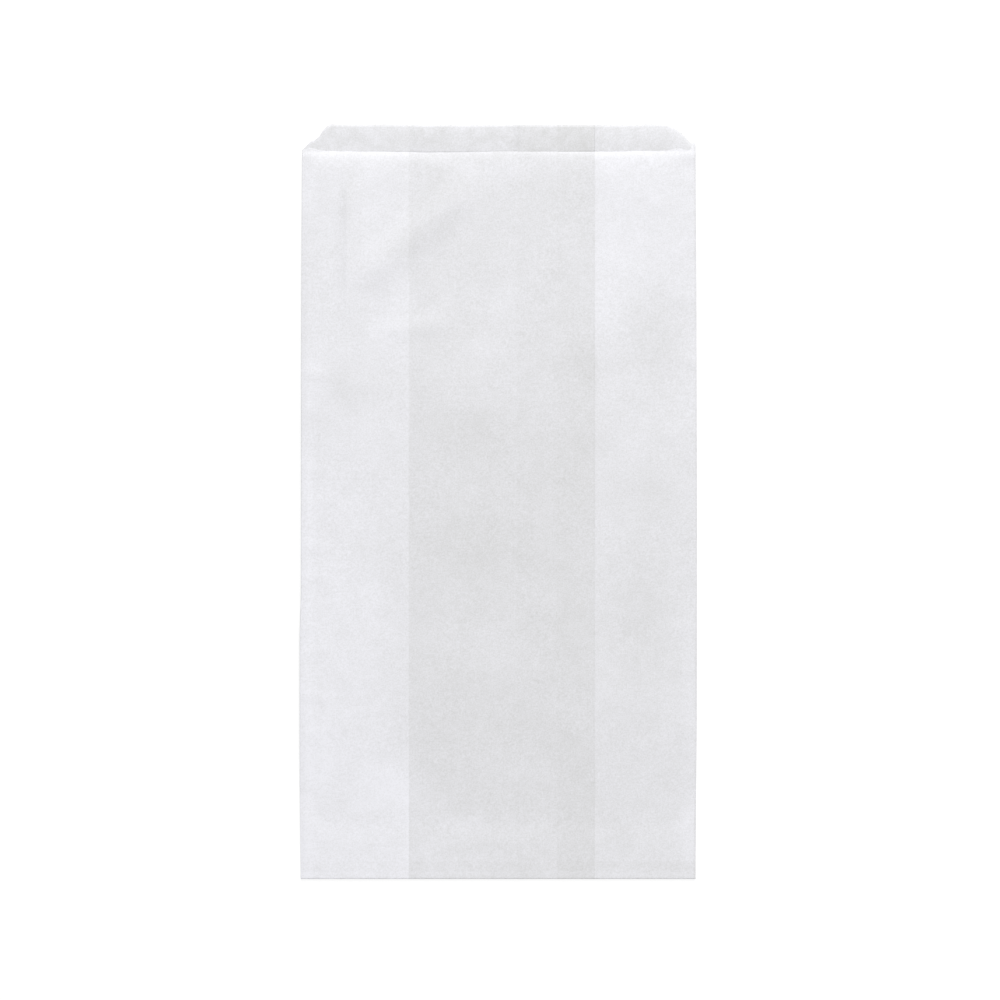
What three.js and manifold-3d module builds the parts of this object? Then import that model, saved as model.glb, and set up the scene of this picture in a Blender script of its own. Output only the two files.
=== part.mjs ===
// A flat paper bag with a gusset pleated in at each side. It is empty and pressed flat, and lies on its back.
// Millimetres. X runs across the bag, Y from the bottom fold to the mouth, and Z up from the table.
//
// The bag is one sheet of paper. It is bent into a tube that laps itself along the back, and the tube's
// sides are pleated in. One shaped knife cuts every bag from that tube, so both ends of a bag have the same
// outline: the back and the gussets run further up than the front, with a cut-off corner at each side fold.
// The bottom end is turned under the back, where the front ply reaches past the others and is glued down.
//
// Four plies lie over each other at the sides. From the table up they are the back panel, the rear half of
// the gusset, the front half of the gusset and the front panel.

import * as THREE from "three";
import { mergeVertices } from "three/addons/utils/BufferGeometryUtils.js";
import Module from "manifold-3d";

// The flat bag
const WIDTH = 127; // from side fold to side fold
const FRONT_LENGTH = 234.4; // from the bottom fold to the front panel's mouth edge
const LIP = 8.7; // how far the back panel runs past the front panel at the mouth
const LEFT_GUSSET = 34.6; // from the left side fold to the pleat's inner fold
const RIGHT_GUSSET = 32.4; // the same on the right, because the tube ran a little off its former's middle
const FLAP = 19; // depth of the bottom that is turned under

// The paper and its seam
const PAPER = 0.06; // thickness of the sheet
const LAP = 26; // overlap of the sheet's two long edges along the back
const LAP_START = 6; // from the bag's middle to the edge of the lap that shows inside
const LAP_STEP = 3; // run over which the ply beside the lap comes down to the table
const GLUE_MARGIN = 0.6; // from the bottom flap's cut edge to its line of glue

// The corners that the knife cuts off, each as [share of CORNER inwards, share of LIP upwards]
const CORNER = 9.2;
const LEFT_CORNER = [[0, 0.1], [0.16, 0.3], [0.56, 0.5], [0.74, 0.82], [1, 1]];
const RIGHT_CORNER = [[0, 0.14], [0.28, 0.45], [0.56, 0.75], [0.78, 0.94], [1, 1]];

// How the pressed bag stands open
const PLY_GAP = 0.02; // air between two plies where the bag is pressed tight
const SIDE_RISE = 1.2; // how much further the front panel stands off the back panel
const FOLD_RISE = 0.2; // how much each side fold and pleat fold stands open
const SAG = 0.5; // dip of the front panel between the two pleats
const PRESSED_LENGTH = 30; // from the bottom fold to where the bag stands fully open
const MOUTH_RUN = 16; // length over which the bag closes again towards its mouth
const MOUTH_CLOSING = 0.45; // share of its opening that it loses there

// The bottom fold, and the back panel's way down from the flap to the table
const BEND = 0.12; // radius of the back panel in the fold
const SETTLE = 5; // run over which the back panel comes down onto the flap
const CLEAR = 0.3; // from a ply's cut edge to where the back panel starts down
const FALL = 2.5; // run of each of the two steps down

// How finely the sheet is divided
const FOLD_STEPS = 3;
const BEND_STEPS = 6;
const SAG_STEPS = 6;
const BODY_ROWS = 6;
const FLAP_ROWS = [1, 0.6, 0.2];
const MOUTH_ROWS = [0.35, 0.65, 0.85, 0.95, 1];

const BACK = 0;
const REAR_GUSSET = 1;
const FRONT_GUSSET = 2;
const FRONT = 3;
const OUTSIDE = [-1, 1, -1, 1]; // whether the bag's outside is the upper or the lower face of each ply

const HALF = (WIDTH - PAPER) / 2; // from the bag's middle to the middle of the paper in a side fold
const LEFT_PLEAT = LEFT_GUSSET - HALF;
const RIGHT_PLEAT = HALF - RIGHT_GUSSET;
const LAP_END = LAP_START + LAP;
const PITCH = PAPER + PLY_GAP;
const STACK = PAPER + FRONT * PITCH; // from the back to the front where the bag is pressed tight, lap included
const TURN = BEND + STACK + PAPER / 2; // outer radius of the bottom fold
const MOUTH = FRONT_LENGTH - TURN; // the front panel's mouth edge, from the middle of the bottom fold
const FLAP_END = FLAP - TURN; // the flap's cut edge, from the middle of the bottom fold
const FOLD_Y = TURN - (FRONT_LENGTH + LIP) / 2; // the middle of the bottom fold

const { clamp, lerp, smoothstep } = THREE.MathUtils;

// The value at a place along a line through points
function along(points, place) {
  const last = points[points.length - 1];
  if (place <= points[0][0]) return points[0][1];
  if (place >= last[0]) return last[1];
  const next = points.findIndex(([at]) => at > place);
  const [from, low] = points[next - 1];
  const [to, high] = points[next];
  return lerp(low, high, (place - from) / (to - from));
}

// How far the knife cuts the back and the gussets past the front panel, by distance from the side fold
function lipAt(x) {
  const corner = x < 0 ? LEFT_CORNER : RIGHT_CORNER;
  return LIP * along(corner, (HALF - Math.abs(x)) / CORNER);
}

// The knife's outline on any ply. The front panel rises at its corners to meet the gusset in the side fold.
function knife(x, ply) {
  if (ply !== FRONT) return lipAt(x);
  return lipAt(Math.sign(x) * HALF) * (1 - smoothstep((HALF - Math.abs(x)) / CORNER, 0, 1));
}

// How far the bag stands open at a station along its length, from 0 to 1
function openness(station) {
  const closing = clamp((station - MOUTH + MOUTH_RUN) / MOUTH_RUN, 0, 1);
  return smoothstep(station, 0, PRESSED_LENGTH) * (1 - MOUTH_CLOSING * closing ** 3);
}

// The middle of a ply above the middle of the back panel
function height(ply, x, station) {
  const open = openness(station);
  const fold = PITCH + open * FOLD_RISE;
  const top = STACK + open * SIDE_RISE;
  const rearSide = fold + PAPER;
  const frontSide = top - fold;
  const pleat = (rearSide + frontSide) / 2;
  const inward = (HALF - Math.abs(x)) / (x < 0 ? LEFT_GUSSET : RIGHT_GUSSET);
  const across = clamp((x - LEFT_PLEAT) / (RIGHT_PLEAT - LEFT_PLEAT), 0, 1);
  if (ply === BACK) return 0;
  if (ply === REAR_GUSSET) return lerp(rearSide, pleat - fold / 2, inward);
  if (ply === FRONT_GUSSET) return lerp(frontSide, pleat + fold / 2, inward);
  return top - open * SAG * Math.sin(Math.PI * across);
}

// Stations where the back panel starts or ends a step down: off the shorter plies of the flap, then off its
// front ply
function steps(x) {
  const first = FLAP_END - lipAt(x) + CLEAR;
  const second = Math.max(FLAP_END + CLEAR, first + FALL + CLEAR);
  return [first, first + FALL, second, second + FALL];
}

// The underside of the back panel above the table
function floorHeight(x, station) {
  const [first, settled, second, table] = steps(x);
  const onFlap = STACK + PITCH;
  const profile = [[0, 2 * BEND + STACK], [SETTLE, onFlap], [first, onFlap], [settled, PITCH],
    [second, PITCH], [table, 0]];
  return along(profile, station);
}

// A column of the sheet runs the length of the bag. Its faces give, at a station, one point on the bag's
// outside and one on its inside, each as [x, height above the middle of the back panel].
function flatColumn(x, ply) {
  const faces = (station) => {
    const middle = height(ply, x, station);
    return [1, -1].map((face) => [x, middle + (face * OUTSIDE[ply] * PAPER) / 2]);
  };
  return { x, ply, faces };
}

// The columns of a fold from one ply up to the next, bulging to the right (1) or to the left (-1)
function foldColumns(x, ply, bulge) {
  const outside = ply === REAR_GUSSET ? -1 : 1;
  const column = (turned) => {
    const faces = (station) => {
      const low = height(ply, x, station);
      const high = height(ply + 1, x, station);
      const radius = (high - low) / 2;
      const centre = x - bulge * radius;
      return [1, -1].map((face) => {
        const reach = radius + (face * outside * PAPER) / 2;
        return [centre + bulge * reach * Math.sin(turned), low + radius - reach * Math.cos(turned)];
      });
    };
    return { x, ply, faces };
  };
  return Array.from({ length: FOLD_STEPS + 1 }, (_, step) => column((Math.PI * step) / FOLD_STEPS));
}

// A column of the back panel at the seam. Its faces are given in paper thicknesses above the underside.
function seamColumn(x, lower, upper, shiftLower, shiftUpper) {
  const faces = () => [
    [x + shiftLower, (lower - 0.5) * PAPER],
    [x + shiftUpper, (upper - 0.5) * PAPER],
  ];
  return { x, ply: BACK, faces };
}

// The seam, left to right: the inside edge of the lap, its outside edge, and the ply that comes down beside it
function seamColumns() {
  return [
    seamColumn(LAP_START, 0, 1, -PAPER, 0),
    seamColumn(LAP_START, 0, 2, PAPER, 0),
    seamColumn(LAP_END, 0, 2, 0, -PAPER),
    seamColumn(LAP_END, 1, 2, 0, PAPER),
    seamColumn(LAP_END + LAP_STEP, 0, 1, 0, 0),
  ];
}

// One side of the bag, from the back panel round the side folds and the pleat up to the front panel
function sideColumns(side) {
  const corner = side < 0 ? LEFT_CORNER : RIGHT_CORNER;
  const pleat = side < 0 ? LEFT_PLEAT : RIGHT_PLEAT;
  const inwards = corner.slice(1).map(([share]) => side * (HALF - share * CORNER));
  const outwards = inwards.toReversed();
  const between = (inwards[inwards.length - 1] + pleat) / 2;
  return [
    ...outwards.map((x) => flatColumn(x, BACK)),
    ...foldColumns(side * HALF, BACK, side),
    ...inwards.map((x) => flatColumn(x, REAR_GUSSET)),
    flatColumn(between, REAR_GUSSET),
    ...foldColumns(pleat, REAR_GUSSET, -side),
    flatColumn(between, FRONT_GUSSET),
    ...outwards.map((x) => flatColumn(x, FRONT_GUSSET)),
    ...foldColumns(side * HALF, FRONT_GUSSET, side),
    ...inwards.map((x) => flatColumn(x, FRONT)),
  ];
}

// The front panel between its corners, right to left
function frontColumns() {
  const place = (step) => lerp(RIGHT_PLEAT, LEFT_PLEAT, step / SAG_STEPS);
  return Array.from({ length: SAG_STEPS + 1 }, (_, step) => flatColumn(place(step), FRONT));
}

// A row crosses every column. It puts a point of the section, [x, height], where it lies in the bag.
function flapRow(share) {
  return (column) => {
    const out = share * (FLAP_END - knife(column.x, column.ply));
    return column.faces(0).map(([x, z]) => [x, FOLD_Y + out, STACK + PAPER / 2 - z]);
  };
}

function bendRow(angle) {
  const middle = BEND + STACK + PAPER / 2;
  return (column) => column.faces(0).map(([x, z]) => {
    const reach = BEND + z;
    return [x, FOLD_Y - reach * Math.sin(angle), middle + reach * Math.cos(angle)];
  });
}

function panelRow(stationOf) {
  return (column) => {
    const station = stationOf(column);
    const middle = floorHeight(column.x, station) + PAPER / 2;
    return column.faces(station).map(([x, z]) => [x, FOLD_Y + station, middle + z]);
  };
}

// All rows, from the flap's cut edge round the bottom fold and up the bag to the mouth
function allRows() {
  const bend = Array.from({ length: BEND_STEPS + 1 }, (_, step) => Math.PI * (1 - step / BEND_STEPS));
  const bodyStart = PRESSED_LENGTH;
  const bodyEnd = MOUTH - MOUTH_RUN;
  const body = Array.from({ length: BODY_ROWS }, (_, row) => lerp(bodyStart, bodyEnd, row / (BODY_ROWS - 1)));
  const mouth = (share) => ({ x, ply }) => bodyEnd + share * MOUTH_RUN + share ** 6 * knife(x, ply);
  return [
    ...FLAP_ROWS.map(flapRow),
    ...bend.map(bendRow),
    panelRow(() => SETTLE),
    ...[0, 1, 2, 3].map((step) => panelRow(({ x }) => steps(x)[step])),
    ...body.map((station) => panelRow(() => station)),
    ...MOUTH_ROWS.map((share) => panelRow(mouth(share))),
  ];
}

// The closed skin round the sheet: its outside, its inside and its two cut edges
function sheetGeometry() {
  const ring = [
    ...sideColumns(1),
    ...frontColumns(),
    ...sideColumns(-1).reverse(),
    flatColumn(LEFT_PLEAT, BACK),
    ...seamColumns(),
  ];
  const rows = allRows();
  const positions = [];
  for (const row of rows) {
    for (const column of ring) positions.push(...row(column).flat());
  }
  const index = [];
  const vertex = (row, column, face) => 2 * (row * ring.length + (column % ring.length)) + face;
  const quad = (a, b, c, d) => index.push(a, c, b, a, d, c);
  for (let column = 0; column < ring.length; column += 1) {
    const next = column + 1;
    for (let row = 0; row < rows.length - 1; row += 1) {
      const up = row + 1;
      quad(vertex(row, column, 0), vertex(row, next, 0), vertex(up, next, 0), vertex(up, column, 0));
      quad(vertex(row, next, 1), vertex(row, column, 1), vertex(up, column, 1), vertex(up, next, 1));
    }
    const top = rows.length - 1;
    quad(vertex(0, next, 0), vertex(0, column, 0), vertex(0, column, 1), vertex(0, next, 1));
    quad(vertex(top, column, 0), vertex(top, next, 0), vertex(top, next, 1), vertex(top, column, 1));
  }
  const geometry = new THREE.BufferGeometry();
  geometry.setAttribute("position", new THREE.Float32BufferAttribute(positions, 3));
  geometry.setIndex(index);
  return geometry;
}

// The line of glue that holds the flap's front ply to the back panel. It fills the gap between them and
// reaches a quarter of the way into each.
function glueGeometry() {
  const start = FLAP_END - LIP + CLEAR + FALL + GLUE_MARGIN;
  const end = FLAP_END - GLUE_MARGIN;
  const width = WIDTH - 2 * (CORNER + FALL);
  const thickness = PLY_GAP + PAPER / 2;
  const geometry = new THREE.BoxGeometry(width, end - start, thickness);
  return geometry.translate(0, FOLD_Y + (start + end) / 2, PAPER + PLY_GAP / 2);
}

const wasm = await Module();
wasm.setup();

function toSolid(geometry) {
  geometry.deleteAttribute("normal");
  geometry.deleteAttribute("uv");
  const merged = mergeVertices(geometry);
  const vertProperties = new Float32Array(merged.attributes.position.array);
  const triVerts = new Uint32Array(merged.index.array);
  return new wasm.Manifold(new wasm.Mesh({ numProp: 3, vertProperties, triVerts }));
}

function toGeometry(solid) {
  const { vertProperties, triVerts } = solid.getMesh();
  const geometry = new THREE.BufferGeometry();
  geometry.setAttribute("position", new THREE.BufferAttribute(vertProperties, 3));
  geometry.setIndex(new THREE.BufferAttribute(triVerts, 1));
  geometry.computeVertexNormals();
  return geometry;
}

const whitePaper = new THREE.MeshStandardMaterial({ color: 0xe9e9ec, roughness: 0.75, metalness: 0 });

const paperBag = new THREE.Mesh(toGeometry(toSolid(sheetGeometry()).add(toSolid(glueGeometry()))), whitePaper);
paperBag.name = "paper_bag";

const bag = new THREE.Group();
bag.add(paperBag);

export default bag;
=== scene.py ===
"""A flat paper bag with side gussets, pressed flat and lying on its back, seen from above in soft light."""

import math

import bpy
import numpy as np
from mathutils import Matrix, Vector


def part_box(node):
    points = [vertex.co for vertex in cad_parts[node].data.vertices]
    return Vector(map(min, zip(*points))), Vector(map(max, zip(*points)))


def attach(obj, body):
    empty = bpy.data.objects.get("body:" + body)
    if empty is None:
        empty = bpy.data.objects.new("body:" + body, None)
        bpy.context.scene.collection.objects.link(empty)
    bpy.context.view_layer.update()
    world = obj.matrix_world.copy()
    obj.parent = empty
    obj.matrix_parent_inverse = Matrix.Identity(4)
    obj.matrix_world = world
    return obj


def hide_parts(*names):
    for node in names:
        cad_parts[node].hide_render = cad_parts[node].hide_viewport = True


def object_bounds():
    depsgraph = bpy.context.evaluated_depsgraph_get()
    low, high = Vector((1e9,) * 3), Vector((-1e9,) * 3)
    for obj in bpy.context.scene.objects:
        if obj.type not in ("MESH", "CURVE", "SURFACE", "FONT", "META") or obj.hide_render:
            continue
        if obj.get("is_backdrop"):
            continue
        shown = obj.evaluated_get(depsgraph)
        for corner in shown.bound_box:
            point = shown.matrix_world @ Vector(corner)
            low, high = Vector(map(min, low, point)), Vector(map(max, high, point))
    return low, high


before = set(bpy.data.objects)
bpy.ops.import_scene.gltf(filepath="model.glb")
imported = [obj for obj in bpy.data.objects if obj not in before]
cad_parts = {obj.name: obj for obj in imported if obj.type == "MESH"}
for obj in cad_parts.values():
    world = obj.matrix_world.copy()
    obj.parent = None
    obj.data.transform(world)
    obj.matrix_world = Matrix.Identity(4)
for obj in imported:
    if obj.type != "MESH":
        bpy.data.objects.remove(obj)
cad_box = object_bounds()

MM = 0.001
NODE = "paper_bag"
BODY = "root"

# The bag, in millimetres. Its outline comes from the frame, and the rest follows the part's own sizes.
LOW, HIGH = (np.array(corner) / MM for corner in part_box(NODE))
WIDTH, LENGTH, _ = HIGH - LOW
LIP = 8.7  # how far the back panel runs past the front panel at the mouth
LEFT_GUSSET = 34.6
RIGHT_GUSSET = 32.4
FLAP = 19.0  # depth of the bottom that is turned under
PAPER = 0.06
LAP_START = 6.0  # the seam's edge that shows inside
LAP = 26.0
LAP_STEP = 3.0  # past the lap, the back panel comes down to the table over this length
GLUE_START = 18.9  # the seam's line of glue begins here, and runs to the lap's outer edge

# The knife's outline near the corners of the mouth, from the side edge inwards: share of CORNER, share of LIP
CORNER = 9.2
LEFT_CORNER = [(0, 0.06), (0.28, 0.35), (0.42, 0.4), (0.6, 0.54), (0.7, 0.72), (0.84, 0.89), (1, 1)]
RIGHT_CORNER = [
    *[(0, 0.33), (0.07, 0.34), (0.16, 0.3), (0.26, 0.41)],
    *[(0.34, 0.5), (0.5, 0.685), (0.71, 0.87), (1, 1)],
]

# The front panel's own edge there, in the same shares
LEFT_TAB = [(0, 0.06), (0.06, 0.13), (0.33, 0.115), (0.5, 0.05), (0.78, 0)]
RIGHT_TAB = [(0, 0.33), (0.07, 0.3), (0.16, 0.06), (0.3, 0)]

# And its edge between them, as bumps: place, width and height
EDGE_DIP = (-22.0, 17.0, -0.3)
EDGE_TIP = (57.8, 2.8, 0.85)
TIP_END = (61.5, 59.5)  # the tip is cut off between these places

# The small waver of a real cut: height, size, place in the noise and seed
CUT_WAVERS = [(0.16, 17.0, 0.0, 8), (0.09, 4.0, 9.0, 9)]
WAVER_START = 0.3  # it reaches its full height this share of CORNER off the side edge

# How far the side edges stray from straight lines: y, shift in x
LEFT_BOW = [(-121, -0.2), (-90, -0.5), (-42, -0.45), (-30, -0.05), (70, 0.1), (104, 0.25)]
RIGHT_BOW = [(-121, 0), (-90, 0.2), (-70, 0.35), (-10, 0.4), (70, 0.2), (104, 0)]

# How it stands open. A station is a distance from the bottom fold, along the bag.
PLY_GAP = 0.02
SIDE_RISE = 1.6  # how far the panels spring apart at the side folds
FOLD_RISE = 0.2  # and how much of that lies in each side fold and pleat
SAG = 0.5  # how far the front panel sags between the pleats
PRESSED_LENGTH = 65.0  # it opens gradually over this length from the bottom fold
PLEAT_DROP, PLEAT_ROUND = 0.07, (-0.2, 0.7)  # the front panel drops this much off each pleat, over this width

# How it closes at the mouth
EDGE_SHUT = 0.92  # how far the mouth edge closes
EDGE_SLOPE = 0.31  # how fast it turns down at the very edge, for each mm
EDGE_TURN = [  # the length over which it turns down: x, length
    *[(-63, 0.6), (-59, 2.7), (-30, 2.8), (-27, 2.6), (5, 2.6)],
    *[(7, 0.9), (29, 1.4), (33, 2.4), (56, 2.3), (61, 0.6)],
]
FADE_LENGTH = 10.0  # the rest of the closing is gentle, over this length
EARLY = 0.8  # the gussets turn down this much before the front panel does
REST_RUN = (-5.0, 1.5)  # the plies come to rest on each other here, from before to past the mouth
REST_DROP, REST_WIDTH = 0.2, 5.0  # between the pleats the front panel rests lower, from this far inside them

# How it lies on the table
BEND = 0.04  # inner radius of the bottom fold
SETTLE = 5.0  # the bottom fold's roundness fades over this length
CLEAR = 0.3  # the back panel comes down this far past each edge of the flap's two depths
FALL = 2.5  # and over this length
BRIDGE = 9.0  # the plies over it come down over this length
LIP_RUN = 6.0  # the lip starts to lift off the table this far under the front panel
LIP_LIFT = 0.4
LIP_UP = 0.6  # it has lifted after this share of its length
LIP_HELD = 3.0  # where the lip is shorter than this, it lifts less
LIP_UNEVEN = (0.5, 24.0, 12)  # share, size and seed of its unevenness
LIP_CURL = 10  # how sharply its edge curls down again

# How finely the sheet is divided
FRONT_SPACING = 1.5
BACK_SPACING = 2.6
GUSSET_SPACING = 3.4
BODY_SPACING = 1.4
BODY_START = 25.5  # rows are evenly spaced from this station to the run before the mouth
MOUTH_RUN = 16.0
MOUTH_STEPS = 18
MOUTH_CROWDING = 1.6  # how much closer together the rows are towards the mouth
CUT_CROWDING = 8  # only the last rows follow the knife's outline
FOLD_STEPS = 5
BEND_STEPS = 10
FLAP_STEPS = 8
PLEAT_COLUMNS = (-0.25, 0.0, 0.25, 0.5, 0.8)  # the front panel's columns off a pleat, towards the middle
CREASE_COLUMNS = (-1.0, -0.5, -0.2, 0.0, 0.2, 0.5, 1.0)  # and its columns off the crease
COLUMN_GAP = 1.3  # its other columns keep this far off those lines

BACK, REAR_GUSSET, FRONT_GUSSET, FRONT = range(4)
OUTSIDE = (-0.5, 0.5, -0.5, 0.5)  # the bag's outside on each ply, in paper thicknesses above its middle

HALF = (WIDTH - PAPER) / 2
LEFT_PLEAT = LEFT_GUSSET - HALF
RIGHT_PLEAT = HALF - RIGHT_GUSSET
LAP_END = LAP_START + LAP
PITCH = PAPER + PLY_GAP
STACK = PAPER + FRONT * PITCH
TURN = BEND + STACK + PAPER / 2
FRONT_LENGTH = LENGTH - LIP
MOUTH = FRONT_LENGTH - TURN
FLAP_END = FLAP - TURN
FOLD_Y = TURN - LENGTH / 2


def smooth(low, high, value):
    """0 below low, 1 above high and an S-curve between them."""
    share = np.clip((value - low) / (high - low), 0, 1)
    return share * share * (3 - 2 * share)


def clouds(x, y, size, seed):
    """Smooth noise from -1 to 1 over the bag, with lumps of one size in millimetres."""
    table = np.random.default_rng(seed).uniform(-1, 1, (128, 128))
    u, v = x / size + 64, y / size + 64
    i, j = np.floor(u).astype(int), np.floor(v).astype(int)
    f, g = smooth(0, 1, u - i), smooth(0, 1, v - j)
    corner = lambda a, b: table[(i + a) % 128, (j + b) % 128]
    near = corner(0, 0) * (1 - f) + corner(1, 0) * f
    far = corner(0, 1) * (1 - f) + corner(1, 1) * f
    return near * (1 - g) + far * g


def creased(x, y, size, seed):
    """Noise with sharp valleys, as in paper that has been handled, from -1 to 1."""
    shift = clouds(x, y, size * 1.7, seed + 50) * size * 0.4
    return 1 - 2 * np.abs(clouds(x + shift, y - shift, size, seed))


def ridge(x, y, start, end, height, spread):
    """A soft fold along a line, in millimetres, which fades out at both ends."""
    line = np.subtract(end, start)
    length = np.hypot(*line)
    along = ((x - start[0]) * line[0] + (y - start[1]) * line[1]) / length
    across = ((x - start[0]) * line[1] - (y - start[1]) * line[0]) / length
    fade = smooth(-spread, 2 * spread, along) * (1 - smooth(length - 2 * spread, length + spread, along))
    return height * fade * np.exp(-((across / spread) ** 2))


def bump(x, place, width, size):
    """A soft bump in an edge."""
    return size * np.exp(-(((x - place) / width) ** 2))


# Waves and wrinkles of the front panel: height, size and seed
WAVES = [(0.2, 46.0, 3), (0.1, 21.0, 4)]
WRINKLES = [(0.035, 13.0, 5), (0.018, 6.5, 6)]

# A sharp crease that runs down from the mouth: the paper rises to it from the left and falls away slowly
CREASE = -48.9
CREASE_PROFILE = [(-2.8, 0), (0, 1), (9, 0)]  # across, share of its height
CREASE_HEIGHT = 0.42
CREASE_LOWER, CREASE_UPPER = (50.0, 74.0), (107.0, 97.0)  # its two ends, each from nothing to its full height

# Folds of the front panel: start, end, height and spread
BUCKLES = [
    ((-44, 70), (-7, 103.5), 1.0, 5.8),
    ((-38, 54), (-14, 58), 0.3, 3.4),
    ((-60, 34), (30, 30), 0.4, 22.0),
    ((-41, -86), (-31, -92), 0.18, 2.2),
    ((-33, -92), (-30, -84), 0.12, 1.6),
    ((-49, 64), (-46, 34), -0.05, 0.8),
    ((-63.6, 109.8), (-60.6, 110.2), -0.6, 1.2),
    ((51.4, 19.3), (62.7, 25.1), 0.1, 1.6),
    ((-25, -60), (-6, -56), 0.1, 4.0),
    ((6, -64), (18, -50), 0.08, 3.6),
    ((-20, -104), (2, -98), 0.1, 3.4),
    ((34, -104), (62, -102), 0.06, 1.4),
    ((33, 72), (40, 80), 0.07, 1.8),
]

# Short puckers that run inwards from the side folds, at these places along the bag
LEFT_PUCKERS = [42, 27.6, 11.2, -2, -13.6, -26, -39.7, -50, -62, -76, -90]
RIGHT_PUCKERS = [66, 44, 4, -20.1, -39.7, -56, -72.6, -89, -103.9]
PUCKER_LENGTH = 8.0
PUCKER_TILT = 3.0
PUCKER_HEIGHT = 0.13
PUCKER_SPREAD = 1.5


def relief(x, y):
    """How far the front panel stands above or below its smooth shape, in millimetres."""
    total = sum(high * clouds(x, y, size, seed) for high, size, seed in WAVES)
    total = total + sum(high * creased(x, y, size, seed) for high, size, seed in WRINKLES)
    along = smooth(*CREASE_LOWER, y) * smooth(*CREASE_UPPER, y)
    total = total + CREASE_HEIGHT * along * np.interp(x - CREASE, *zip(*CREASE_PROFILE))
    for start, end, high, wide in BUCKLES:
        total = total + ridge(x, y, start, end, high, wide)
    for side, places in ((-1, LEFT_PUCKERS), (1, RIGHT_PUCKERS)):
        for number, place in enumerate(places):
            tilt = PUCKER_TILT * (1 if number % 2 else -0.6)
            length = PUCKER_LENGTH * (1 + 0.3 * math.sin(5.0 * number))
            edge, inner = (side * HALF, place), (side * (HALF - length), place + tilt)
            total = total + ridge(x, y, edge, inner, PUCKER_HEIGHT, PUCKER_SPREAD)
    return total


def lip_at(x):
    """How far the knife cuts the back and the gussets past the front panel."""
    inward = (HALF - np.abs(x)) / CORNER
    left, right = (np.interp(inward, *zip(*corner)) for corner in (LEFT_CORNER, RIGHT_CORNER))
    return LIP * np.where(x < 0, left, right)


def front_edge(x):
    """The front panel's mouth edge: it dips left of the middle and turns up near the right corner."""
    return bump(x, *EDGE_DIP) + bump(x, *EDGE_TIP) * smooth(*TIP_END, x)


def knife(x, ply):
    """The knife's outline on any ply, with the small waver of a real cut."""
    waver = sum(high * clouds(x, 0 * x + y, size, seed) for high, size, y, seed in CUT_WAVERS)
    inward = (HALF - np.abs(x)) / CORNER
    left, right = (np.interp(inward, *zip(*tab)) for tab in (LEFT_TAB, RIGHT_TAB))
    front = LIP * np.where(x < 0, left, right) + front_edge(x)
    return np.where(ply == FRONT, front, lip_at(x)) + waver * smooth(0, WAVER_START, inward)


def openness(x, station):
    """How far the bag stands open, from 0 to 1: it closes at the mouth, where the edge turns down."""
    before = np.clip(MOUTH - station, 0, None)
    turn = np.interp(x, *zip(*EDGE_TURN))
    sharp = EDGE_SLOPE * turn
    closing = sharp * np.exp(-before / turn) + (EDGE_SHUT - sharp) * np.exp(-before / FADE_LENGTH)
    return smooth(0, PRESSED_LENGTH, station) * (1 - closing)


def height(ply, x, station):
    """The middle of a ply above the middle of the back panel."""
    gusset = (ply == REAR_GUSSET) | (ply == FRONT_GUSSET)
    opened = openness(x, station + EARLY * gusset)
    fold = PITCH + opened * FOLD_RISE
    top = STACK + opened * SIDE_RISE
    rear_side, front_side = fold + PAPER, top - fold
    resting = smooth(*REST_RUN, station - MOUTH)
    low = PITCH + np.where(x > 0, PAPER, 0) + fold / 2
    pleat = (rear_side + front_side) / 2 * (1 - resting) + low * resting
    inward = (HALF - np.abs(x)) / np.where(x < 0, LEFT_GUSSET, RIGHT_GUSSET)
    across = np.clip((x - LEFT_PLEAT) / (RIGHT_PLEAT - LEFT_PLEAT), 0, 1)
    rear = rear_side + (pleat - fold / 2 - rear_side) * inward
    front = front_side + (pleat + fold / 2 - front_side) * inward
    inside = np.minimum(x - LEFT_PLEAT, RIGHT_PLEAT - x)
    panel = top - opened * (SAG * np.sin(math.pi * across) ** 2 + PLEAT_DROP * smooth(*PLEAT_ROUND, inside))
    panel = panel - REST_DROP * resting * smooth(0, REST_WIDTH, inside)
    flat = np.select([ply == BACK, ply == REAR_GUSSET, ply == FRONT_GUSSET], [0 * x, rear, front], panel)
    risen = flat * (1 + relief(x, station + FOLD_Y) * opened / (STACK + SIDE_RISE))
    return risen + np.where(ply == BACK, 0, stack_down(x, station, BRIDGE) - stack_down(x, station, FALL))


def steps(x):
    """Stations where the back panel starts or ends a step down, off the two depths of the flap."""
    first = FLAP_END - lip_at(x) + CLEAR
    second = np.maximum(FLAP_END + CLEAR, first + FALL + CLEAR)
    return first, second


def stack_down(x, station, fall):
    """The height left from the flap's two depths, where the plies come down off each over a fall."""
    first, second = steps(x)
    left = STACK * (1 - smooth(first, first + fall, station))
    return left + PITCH * (1 - smooth(second, second + fall, station))


def floor_height(x, station):
    """The underside of the back panel above the table: over the flap, along the table, and in the lip."""
    rounded = (2 * BEND - PITCH) * (1 - smooth(0, SETTLE, station))
    down = rounded + stack_down(x, station, FALL)
    lip = (station - MOUTH + LIP_RUN) / (LIP_RUN + lip_at(x))
    share, size, seed = LIP_UNEVEN
    uneven = 1 + share * clouds(x, 0 * x, size, seed)
    lift = LIP_LIFT * uneven * smooth(0, LIP_UP, lip) * smooth(0, LIP_HELD, lip_at(x))
    return down + lift * (1 - np.clip(lip, 0, 1) ** LIP_CURL)


def side_bow(x, y):
    """How far the side edges stray from straight lines. The pleats stay where they are."""
    left, right = (np.interp(y, *zip(*bow)) for bow in (LEFT_BOW, RIGHT_BOW))
    return left * smooth(LEFT_PLEAT, -HALF, x) + right * smooth(RIGHT_PLEAT, HALF, x)


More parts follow.
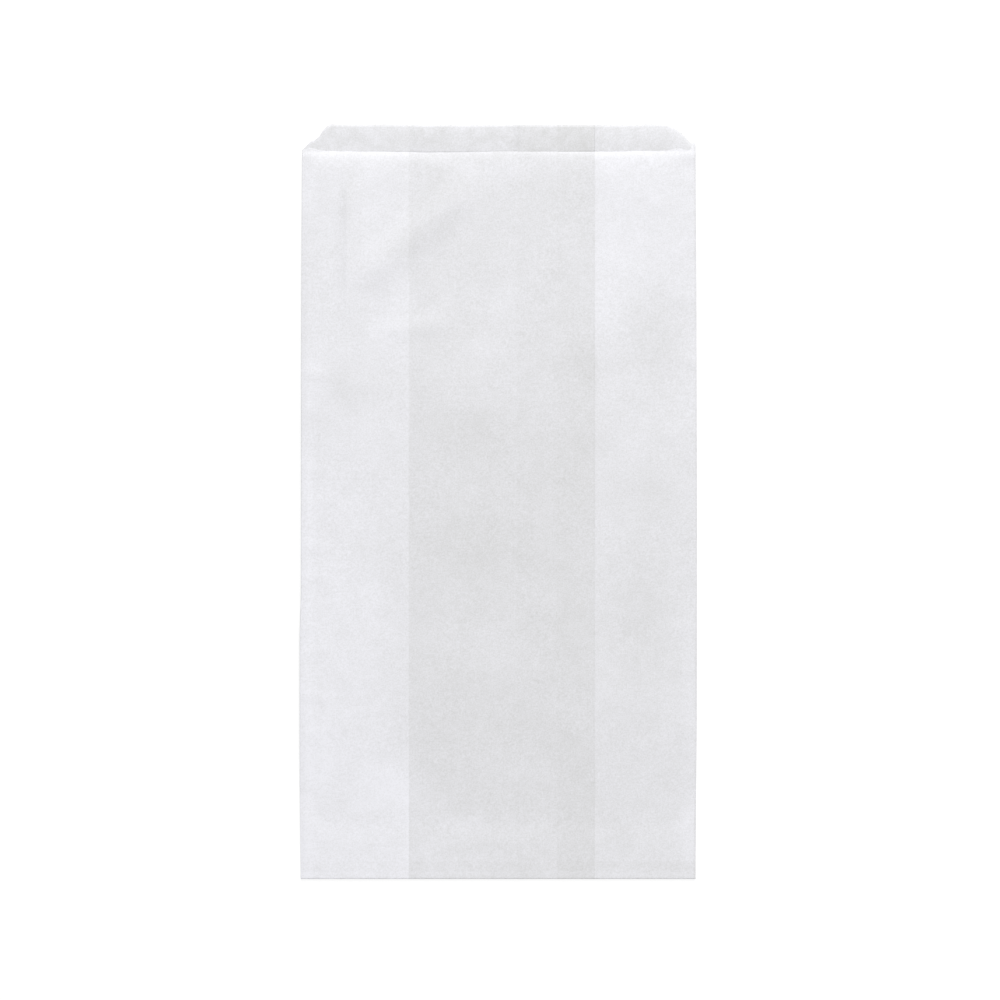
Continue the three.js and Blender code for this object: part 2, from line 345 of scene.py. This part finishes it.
def column(x, ply, outside, inside, bulge=0, turned=math.pi):
    """One column of the sheet, which runs the length of the bag. Its two faces are in paper thicknesses
    off its middle: upwards where it is flat, and outwards from the fold's centre where it is folded."""
    return x, ply, outside, inside, bulge, turned


def flat_columns(places, ply):
    return [column(x, ply, OUTSIDE[ply], -OUTSIDE[ply]) for x in places]


def fold_columns(x, ply, bulge):
    """The columns of a fold from one ply up to the next, bulging to the right (1) or to the left (-1)."""
    outside = -0.5 if ply == REAR_GUSSET else 0.5
    angles = np.linspace(0, math.pi, FOLD_STEPS + 1)
    return [column(x, ply, outside, -outside, bulge, angle) for angle in angles]


def spread(start, end, spacing):
    """Places from start to end, both left out, about a spacing apart."""
    count = max(2, round(abs(end - start) / spacing))
    return list(np.linspace(start, end, count + 1)[1:-1])


def side_columns(side):
    """One side, from the back panel round the side folds and the pleat up to the front panel."""
    corner = LEFT_CORNER if side < 0 else RIGHT_CORNER
    pleat = LEFT_PLEAT if side < 0 else RIGHT_PLEAT
    inwards = [side * (HALF - share * CORNER) for share, _ in corner[1:]]
    outwards = inwards[::-1]
    gusset = spread(inwards[-1], pleat, GUSSET_SPACING)
    return [
        *flat_columns(outwards, BACK),
        *fold_columns(side * HALF, BACK, side),
        *flat_columns(inwards + gusset, REAR_GUSSET),
        *fold_columns(pleat, REAR_GUSSET, -side),
        *flat_columns(gusset[::-1] + outwards, FRONT_GUSSET),
        *fold_columns(side * HALF, FRONT_GUSSET, side),
        *flat_columns(inwards, FRONT),
    ]


def back_columns():
    """The back panel between its corners, left to right, with the lap of its seam."""
    left, right = CORNER - HALF, HALF - CORNER
    hair = PAPER
    return [
        *flat_columns(spread(left, LAP_START, BACK_SPACING), BACK),
        column(LAP_START - hair, BACK, -0.5, 0.5),
        column(LAP_START + hair, BACK, -0.5, 1.5),
        *[column(x, BACK, -0.5, 1.5) for x in spread(LAP_START, LAP_END, BACK_SPACING)],
        column(LAP_END - hair, BACK, -0.5, 1.5),
        column(LAP_END + hair, BACK, 0.5, 1.5),
        *flat_columns([LAP_END + LAP_STEP], BACK),
        *flat_columns(spread(LAP_END + LAP_STEP, right, BACK_SPACING), BACK),
    ]


def front_columns():
    """The front panel between its corners, right to left."""
    left, right = CORNER - HALF, HALF - CORNER
    places = spread(right, left, FRONT_SPACING)
    lines = (LEFT_PLEAT, RIGHT_PLEAT, CREASE)
    places = [x for x in places if min(abs(x - line) for line in lines) > COLUMN_GAP]
    places += [LEFT_PLEAT + step for step in PLEAT_COLUMNS]
    places += [RIGHT_PLEAT - step for step in PLEAT_COLUMNS]
    places += [CREASE + step for step in CREASE_COLUMNS]
    return flat_columns(sorted(places, reverse=True), FRONT)


def sheet_points():
    """All points of the sheet in metres, as rows by columns by outside and inside by x, y and z."""
    ring = side_columns(1) + front_columns() + side_columns(-1)[::-1] + back_columns()
    x, ply, outside, inside, bulge, turned = (np.array(values, float) for values in zip(*ring))

    def section(station):
        """Across and height of both faces of every column, each at its own station."""
        low = height(ply, x, station)
        radius = np.where(bulge == 0, 0, (height(ply + 1, x, station) - low) / 2)
        faces = []
        for offset in (outside, inside):
            reach = radius + offset * PAPER
            across = x + bulge * (reach * np.sin(turned) - radius)
            faces.append((across, low + radius - reach * np.cos(turned)))
        return faces

    def row(place, station):
        return np.array([place(across, up) for across, up in section(station)]).transpose(2, 0, 1)

    still = 0 * x
    cut = knife(x, ply)
    rows = []
    for share in np.linspace(1, 0, FLAP_STEPS, endpoint=False):
        out = share * (FLAP_END - cut)
        rows.append(row(lambda a, z: (a, FOLD_Y + out, STACK + PAPER / 2 - z), still))
    for angle in np.linspace(math.pi, 0, BEND_STEPS + 1):
        back, up = math.sin(angle), math.cos(angle)
        rows.append(row(lambda a, z: (a, FOLD_Y - (BEND + z) * back, TURN + (BEND + z) * up), still))

    first, second = steps(x)
    stations = [still + SETTLE * share for share in (0.15, 0.35, 0.6, 1)]
    stations += [first + FALL * share for share in np.linspace(0, 1, 5)]
    stations += [first + FALL + (second - first - FALL) * share for share in (0.25, 0.5, 0.75)]
    stations += [second + FALL * share for share in np.linspace(0, 1, 5)]
    body_end = MOUTH - MOUTH_RUN
    count = round((body_end - BODY_START) / BODY_SPACING)
    stations += [still + station for station in np.linspace(BODY_START, body_end, count)]
    shares = 1 - np.linspace(1, 0, MOUTH_STEPS + 1)[1:] ** MOUTH_CROWDING
    stations += [still + body_end + MOUTH_RUN * share + share**CUT_CROWDING * cut for share in shares]
    for station in stations:
        middle = floor_height(x, station) + PAPER / 2
        rows.append(row(lambda a, z: (a, FOLD_Y + station, middle + z), station))
    points = np.array(rows)
    points[..., 0] += side_bow(points[..., 0], points[..., 1])
    return points * MM, ply.astype(int)


def sheet_mesh(name):
    """The closed skin round the sheet: its outside, its inside and its two cut edges."""
    points, ply = sheet_points()
    rows, columns = points.shape[:2]
    index = np.arange(rows * columns * 2).reshape(rows, columns, 2)
    nearer, further = index[:-1], index[1:]
    quads, slots = [], []

    def add(a, b, c, d, slot):
        quads.append(np.stack([a, b, c, d], -1).reshape(-1, 4))
        slots.append(np.broadcast_to(slot, a.shape).ravel())

    follow = lambda part: np.roll(part, -1, 1)
    outside_slot = np.where(ply == FRONT, 0, 1)[None, :]
    add(nearer[..., 0], further[..., 0], follow(further)[..., 0], follow(nearer)[..., 0], outside_slot)
    add(nearer[..., 1], follow(nearer)[..., 1], follow(further)[..., 1], further[..., 1], 2)
    bottom, top = index[:1], index[-1:]
    add(bottom[..., 0], follow(bottom)[..., 0], follow(bottom)[..., 1], bottom[..., 1], 2)
    add(top[..., 1], follow(top)[..., 1], follow(top)[..., 0], top[..., 0], 2)

    mesh = bpy.data.meshes.new(name)
    mesh.from_pydata(points.reshape(-1, 3).tolist(), [], np.concatenate(quads).tolist())
    mesh.polygons.foreach_set("material_index", np.concatenate(slots).astype(np.int32))
    mesh.polygons.foreach_set("use_smooth", np.ones(len(mesh.polygons), bool))
    mesh.update()
    return mesh


# Tones of the paper, as shares of white
DARK, PALE = 0.66, 0.9
PALE_BLUE = 1.05  # pale paper is this much bluer

# What shows through a ply, and how much lighter or darker it makes it
CRISP, SOFT = 0.25, 0.6  # how blurred hidden edges look
LEFT_SHOWS = (0.088, 0.04)  # the left gusset's plies: low down, and near the mouth
RIGHT_SHOWS = (0.026, 0.05)
SHOWS_PLACE, SHOWS_BLUR = 15.0, 110.0  # where the one gives way to the other
SEAM_SHOWS = -0.03  # the seam's lap, and once more its glue
FLAP_SHOWS, FLAP_BLUR = 0.008, 7.0  # the flap under the gussets, and once more under the middle
FLAP_GLUE_SHOWS = -0.02

# The paper's own clouds, and painted light towards the mouth
PAINTED_MOUTH_LIGHT, PAINTED_MOUTH_LIGHT_PLACE, PAINTED_MOUTH_LIGHT_BLUR = 0.018, 33.0, 26.0  # painted light that makes it brighter towards the mouth
PAINTED_MOUTH_LIGHT_WAVER, PAINTED_MOUTH_LIGHT_SIZE = 60.0, 30.0  # and the limit of that part strays this far, in lumps of this size
TURNED, TURNED_SIZE = -0.026, 14.0  # a faint darker line over the bottom fold
TURNED_FROM, TURNED_TO = -119.1, -115.8
GRAIN = [(0.45, 1.0, 0.19), (1.1, 3.0, 0.11)]  # size, detail and strength
MOTTLE_SIZE, MOTTLE_DETAIL = 5.0, 2.0
CLOUDS = (26.0, 1.0, 0.045)

# How the front panel touches or stands off the plies under it
HOLLOW, HOLLOW_FROM, HOLLOW_BLUR = -0.034, -37.0, 14.0  # it stands off the left gusset near the pleat
HOLLOW_LOWER, HOLLOW_UPPER = (-85.0, 20.0), (5.0, 44.0)  # the two ends of that: place and blur
RIM = 4.0  # it touches along the side folds, over this width
LEFT_RIM, LEFT_RIM_TOP = 0.028, 42.0
RIGHT_RIM, RIGHT_RIM_TOP = 0.018, -35.0
RIM_BLUR = 20.0
STRAY, STRAY_SIZE = 12.0, 11.0  # how far the outlines of its soft patches stray, in lumps of this size

# The paper's surface
COCKLE = (2.6, 0.05, 0.5)  # size, height and strength of its unevenness
FIBRE = (0.45, 0.012, 0.35)
FIBRE_DETAIL, FIBRE_ROUGHNESS = 4.0, 0.65
DULL, DULL_UNEVEN = 0.8, 0.16  # roughness of paper without gloss, and how uneven it is
SHEEN = 0.08

# Soft patches of the front panel, lighter where it touches what lies under it and darker where it stands off,
# and some of them painted shade and painted light on the flanks of its folds:
# centre, half sizes, turn in radians and strength
TONE_AND_SHADE_PATCHES = [
    ((-20, 99), (16, 7), 0.6, -0.032),
    ((-31, 83), (11, 7), 0.6, -0.046),
    ((3, 107), (32, 5), 0.0, 0.03),
    ((-47.5, 96), (6, 18), 0.0, -0.03),
    ((-62, 100), (7, 14), 0.0, 0.03),
    ((18, 84), (13, 13), 0.0, 0.022),
    ((2, 63), (14, 12), 0.0, 0.024),
    ((51, 52), (19, 31), 0.0, -0.067),
    ((-8, 46), (20, 9), 0.2, 0.014),
    ((-36, 54), (7, 7), 0.0, 0.02),
    ((30, 46), (12, 17), 0.0, -0.03),
    ((-47, 38), (10, 16), 0.4, -0.048),
    ((-11, 22), (27, 16), 0.1, -0.022),
    ((31, 19), (10, 13), 0.0, -0.03),
    ((47, 3), (17, 14), 0.1, -0.038),
    ((-3, -14), (27, 17), 0.1, -0.038),
    ((-43, -14), (11, 12), 0.0, -0.018),
    ((45, -40), (16, 52), 0.0, -0.032),
    ((-6, -45), (34, 11), -0.1, 0.024),
    ((2, -72), (30, 7), -0.1, -0.01),
    ((13, -87), (13, 8), 0.0, 0.025),
    ((-35, -92), (24, 14), -0.2, 0.046),
    ((-16, -103), (20, 9), -0.2, 0.034),
    ((-56, -84), (8, 26), 0.0, 0.032),
    ((62, -106), (8, 12), 0.0, 0.03),
    ((-23, -112), (12, 7), 0.0, 0.042),
    ((39, -107), (12, 7), 0.0, -0.022),
    ((-14, -118), (26, 7), 0.0, 0.034),
    ((18, -119), (14, 5), 0.0, 0.014),
]


class Nodes:
    """A short way to write a material's node tree."""

    def __init__(self, name):
        self.material = bpy.data.materials.new(name)
        self.material.use_nodes = True
        self.tree = self.material.node_tree
        self.shader = self.tree.nodes["Principled BSDF"]

    def add(self, kind, settings=(), **inputs):
        node = self.tree.nodes.new(kind)
        for key, value in dict(settings).items():
            setattr(node, key, value)
        for key, value in inputs.items():
            self.link(node.inputs[int(key[1:]) if key[1:].isdigit() else key], value)
        return node

    def link(self, socket, value):
        if isinstance(value, bpy.types.NodeSocket):
            self.tree.links.new(value, socket)
        else:
            socket.default_value = value

    def math(self, operation, a, b):
        return self.add("ShaderNodeMath", {"operation": operation}, _0=a, _1=b).outputs[0]

    def vector(self, operation, a, b):
        return self.add("ShaderNodeVectorMath", {"operation": operation}, _0=a, _1=b).outputs[0]

    def plus(self, a, b):
        return self.math("ADD", a, b)

    def times(self, a, b):
        return self.math("MULTIPLY", a, b)

    def rest(self, share):
        """What a share leaves of 1."""
        return self.math("SUBTRACT", 1.0, share)

    def fade(self, value, low, high):
        """0 below low, 1 above high and an S-curve between them."""
        node = self.add("ShaderNodeMapRange", {"interpolation_type": "SMOOTHSTEP"}, _0=value, _1=low, _2=high)
        return node.outputs[0]

    def past(self, place, edge, blur):
        """1 where a place is past an edge and 0 before it, over a short blur in millimetres."""
        return self.fade(place, (edge - blur / 2) * MM, (edge + blur / 2) * MM)

    def blend(self, share, low, high):
        """From low to high as the share goes from 0 to 1."""
        return self.plus(self.times(share, high - low), low)

    def noise(self, vector, size, detail=2.0, roughness=0.5, output="Fac"):
        """Cloudy noise with lumps of one size in millimetres."""
        node = self.add("ShaderNodeTexNoise", Vector=vector, Scale=1 / (size * MM))
        node.inputs["Detail"].default_value = detail
        node.inputs["Roughness"].default_value = roughness
        return node.outputs[output]

    def patch(self, place, centre, size, turn):
        """1 in the middle of a soft oval and 0 outside it."""
        local = self.add("ShaderNodeMapping", {"vector_type": "TEXTURE"}, Vector=place)
        local.inputs["Location"].default_value = (centre[0] * MM, centre[1] * MM, 0)
        local.inputs["Rotation"].default_value = (0, 0, turn)
        local.inputs["Scale"].default_value = (size[0] * MM, size[1] * MM, 1)
        reach = self.add("ShaderNodeVectorMath", {"operation": "LENGTH"}, _0=local.outputs[0])
        return self.rest(self.fade(reach.outputs["Value"], 0.0, 1.0))

    def bump(self, noise, height, strength, under=None):
        """Bumps of a height in millimetres, on top of other bumps."""
        node = self.add("ShaderNodeBump", Height=noise, Strength=strength, Distance=height * MM)
        if under:
            self.link(node.inputs["Normal"], under)
        return node.outputs[0]


def shown_under(n, x, y, layers, seam):
    """What shows through a ply: more plies under it make it lighter, and the seam and its glue darker."""
    upper = n.past(y, SHOWS_PLACE, SHOWS_BLUR)
    left = n.rest(n.past(x, LEFT_PLEAT, CRISP))
    right = n.past(x, RIGHT_PLEAT, CRISP)
    middle = n.rest(n.plus(left, right))
    lap = n.times(n.past(x, LAP_START, SOFT), middle)
    glue = n.times(n.past(x, GLUE_START, SOFT), middle)
    flap = n.rest(n.past(y, FLAP - LENGTH / 2, FLAP_BLUR))

    gussets = n.plus(n.times(left, n.blend(upper, *LEFT_SHOWS)), n.times(right, n.blend(upper, *RIGHT_SHOWS)))
    total = n.times(gussets, layers)
    total = n.plus(total, n.times(n.plus(lap, glue), SEAM_SHOWS * seam))
    total = n.plus(total, n.times(n.plus(flap, n.times(middle, flap)), FLAP_SHOWS))
    return n.plus(total, n.times(n.times(flap, glue), FLAP_GLUE_SHOWS))


def clouded_and_painted_light(n, place, y, mottle):
    """The paper's own cloudiness and grain, painted light that makes it brighter towards the mouth, and a
    darker line over the bottom.
    """
    # painted light: the paper is made brighter towards the mouth
    waver = n.times(n.math("SUBTRACT", n.noise(place, PAINTED_MOUTH_LIGHT_SIZE, 1.0), 0.5), PAINTED_MOUTH_LIGHT_WAVER * MM)
    total = n.times(n.past(n.plus(y, waver), PAINTED_MOUTH_LIGHT_PLACE, PAINTED_MOUTH_LIGHT_BLUR), PAINTED_MOUTH_LIGHT)
    turned = n.math("SUBTRACT", n.past(y, TURNED_FROM, SOFT), n.past(y, TURNED_TO, SOFT))
    total = n.plus(total, n.times(turned, n.times(n.noise(place, TURNED_SIZE, 1.0), TURNED)))
    for size, detail, strength in (*GRAIN, (MOTTLE_SIZE, MOTTLE_DETAIL, mottle), CLOUDS):
        grain = n.math("SUBTRACT", n.noise(place, size, detail), 0.5)
        total = n.plus(total, n.times(grain, strength))
    return total


def touching_and_painted_shade(n, place, x, y):
    """The front panel's tones where it touches or stands off the plies under it, and painted shade and
    painted light on the flanks of its folds.
    """
    shift = n.vector("SUBTRACT", n.noise(place, STRAY_SIZE, output="Color"), (0.5, 0.5, 0.5))
    strayed = n.vector("ADD", place, n.vector("MULTIPLY", shift, (STRAY * MM,) * 3))
    hollow = n.math("SUBTRACT", n.past(y, *HOLLOW_LOWER), n.past(y, *HOLLOW_UPPER))
    hollow = n.times(hollow, n.past(x, HOLLOW_FROM, HOLLOW_BLUR))
    hollow = n.times(hollow, n.rest(n.past(x, LEFT_PLEAT, CRISP)))
    left_rim = n.times(n.rest(n.past(x, RIM - HALF, RIM)), n.rest(n.past(y, LEFT_RIM_TOP, RIM_BLUR)))
    right_rim = n.times(n.past(x, HALF - RIM, RIM), n.rest(n.past(y, RIGHT_RIM_TOP, RIM_BLUR)))
    total = n.times(hollow, HOLLOW)
    total = n.plus(total, n.times(left_rim, LEFT_RIM))
    total = n.plus(total, n.times(right_rim, RIGHT_RIM))
    # soft patches of tone, some of them painted shade and painted light on the flanks of its folds
    for centre, size, turn, strength in TONE_AND_SHADE_PATCHES:
        total = n.plus(total, n.times(n.patch(strayed, centre, size, turn), strength))
    return total


def paper_material(name, white, layers, seam, mottle, gloss, front=False):
    """White bag paper. layers and seam are how strongly what lies under it shows, mottle is how cloudy it is,
    and gloss how smooth."""
    n = Nodes(name)
    place = n.add("ShaderNodeTexCoord").outputs["Object"]
    x, y, _ = n.add("ShaderNodeSeparateXYZ", _0=place).outputs
    tone = n.plus(shown_under(n, x, y, layers, seam), white)
    tone = n.plus(tone, clouded_and_painted_light(n, place, y, mottle))
    if front:
        tone = n.plus(tone, touching_and_painted_shade(n, place, x, y))
    ramp = n.add("ShaderNodeValToRGB", _0=n.math("DIVIDE", n.math("SUBTRACT", tone, DARK), PALE - DARK))
    ramp.color_ramp.elements[0].color = (DARK, DARK, DARK, 1)
    ramp.color_ramp.elements[1].color = (PALE, PALE, PALE_BLUE * PALE, 1)
    n.link(n.shader.inputs["Base Color"], ramp.outputs[0])

    cockle_size, cockle_height, cockle_strength = COCKLE
    fibre_size, fibre_height, fibre_strength = FIBRE
    cockle = n.noise(place, cockle_size)
    coarse = n.bump(cockle, cockle_height, cockle_strength)
    fibre = n.noise(place, fibre_size, FIBRE_DETAIL, FIBRE_ROUGHNESS)
    fine = n.bump(fibre, fibre_height, fibre_strength, under=coarse)
    n.link(n.shader.inputs["Normal"], fine)
    n.link(n.shader.inputs["Roughness"], n.plus(n.times(cockle, DULL_UNEVEN), DULL - gloss))
    n.shader.inputs["Specular IOR Level"].default_value = SHEEN
    return n.material


def make_bag():
    """The sheet, with one material each for the front panel, the rest of its outside, and its inside."""
    front = paper_material("paper_front", 0.752, layers=1.0, seam=0.25, mottle=0.06, gloss=0.22, front=True)
    outside = paper_material("paper_outside", 0.752, layers=0.3, seam=0.8, mottle=0.1, gloss=0.22)
    inside = paper_material("paper_inside", 0.745, layers=0.1, seam=1.0, mottle=0.16, gloss=0.05)
    mesh = sheet_mesh("bag_sheet")
    for material in (front, outside, inside):
        mesh.materials.append(material)
    bag = bpy.data.objects.new("bag_sheet", mesh)
    bpy.context.scene.collection.objects.link(bag)
    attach(bag, BODY)
    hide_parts(NODE)


def seen_white(n, diffuse, seen_diffuse, glow):
    """A pale ground which the camera and reflections see as white, with a faint shadow: for them, part of
    its diffuse colour is traded for a glow."""
    rays = n.add("ShaderNodeLightPath").outputs
    seen = n.math("MAXIMUM", rays["Is Camera Ray"], rays["Is Glossy Ray"])
    seen = n.math("MAXIMUM", seen, rays["Is Transmission Ray"])
    shade = n.blend(seen, diffuse, seen_diffuse)
    grey = n.add("ShaderNodeCombineColor", _0=shade, _1=shade, _2=shade).outputs[0]
    n.link(n.shader.inputs["Base Color"], grey)
    emission = n.add("ShaderNodeEmission", _1=n.times(seen, glow)).outputs[0]
    return n.add("ShaderNodeAddShader", _0=n.shader.outputs[0], _1=emission).outputs[0]


def make_floor():
    """A pale floor, a hair under the bag."""
    reach, hair = 1.6, 0.0001
    corners = [(-reach, -reach, 0), (reach, -reach, 0), (reach, reach, 0), (-reach, reach, 0)]
    mesh = bpy.data.meshes.new("floor")
    mesh.from_pydata(corners, [], [(0, 1, 2, 3)])
    n = Nodes("pale_floor")
    n.shader.inputs["Roughness"].default_value = 0.9
    n.shader.inputs["Specular IOR Level"].default_value = 0.1
    output = n.tree.nodes["Material Output"]
    n.link(output.inputs["Surface"], seen_white(n, diffuse=0.8, seen_diffuse=0.28, glow=0.8))
    mesh.materials.append(n.material)
    floor = bpy.data.objects.new("floor", mesh)
    floor.location.z = -hair
    bpy.context.scene.collection.objects.link(floor)
    floor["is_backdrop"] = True


def make_world(strength):
    """Even light from all round. The camera sees the world as plain white."""
    world = bpy.data.worlds.new("studio")
    world.use_nodes = True
    tree = world.node_tree
    plain = tree.nodes["Background"]
    plain.inputs[0].default_value = (1, 1, 1, 1)
    plain.inputs[1].default_value = strength
    white = tree.nodes.new("ShaderNodeBackground")
    white.inputs[0].default_value = (1, 1, 1, 1)
    white.inputs[1].default_value = 1.0
    seen = tree.nodes.new("ShaderNodeLightPath").outputs["Is Camera Ray"]
    choose = tree.nodes.new("ShaderNodeMixShader")
    tree.links.new(seen, choose.inputs[0])
    tree.links.new(plain.outputs[0], choose.inputs[1])
    tree.links.new(white.outputs[0], choose.inputs[2])
    tree.links.new(choose.outputs[0], tree.nodes["World Output"].inputs["Surface"])
    bpy.context.scene.world = world


def make_lamp(name, place, size, power):
    """A soft square lamp that faces the middle of the bag."""
    data = bpy.data.lights.new(name, "AREA")
    data.size = size
    data.energy = power
    lamp = bpy.data.objects.new(name, data)
    lamp.location = place
    aim = -lamp.location
    lamp.rotation_euler = aim.to_track_quat("-Z", "Y").to_euler()
    bpy.context.scene.collection.objects.link(lamp)


def make_camera():
    """Straight above the bag, far enough away to see it almost without perspective."""
    data = bpy.data.cameras.new("camera")
    data.lens = 100
    data.sensor_width = 36
    seen_width = 0.3223
    middle = (0.0005, 0.00056)
    camera = bpy.data.objects.new("camera", data)
    camera.location = (*middle, seen_width * data.lens / data.sensor_width)
    bpy.context.scene.collection.objects.link(camera)
    bpy.context.scene.camera = camera


make_bag()
make_floor()
make_world(strength=0.35)
make_lamp("key", place=(0.14, 1.45, 1.0), size=0.7, power=28.5)
make_lamp("fill", place=(0.26, -0.62, 0.6), size=0.4, power=2.0)
make_camera()
bpy.context.scene.view_settings.view_transform = "Standard"

boxes = {"cad": cad_box, "visual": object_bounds()}
{name: [list(corner) for corner in box] for name, box in boxes.items()}
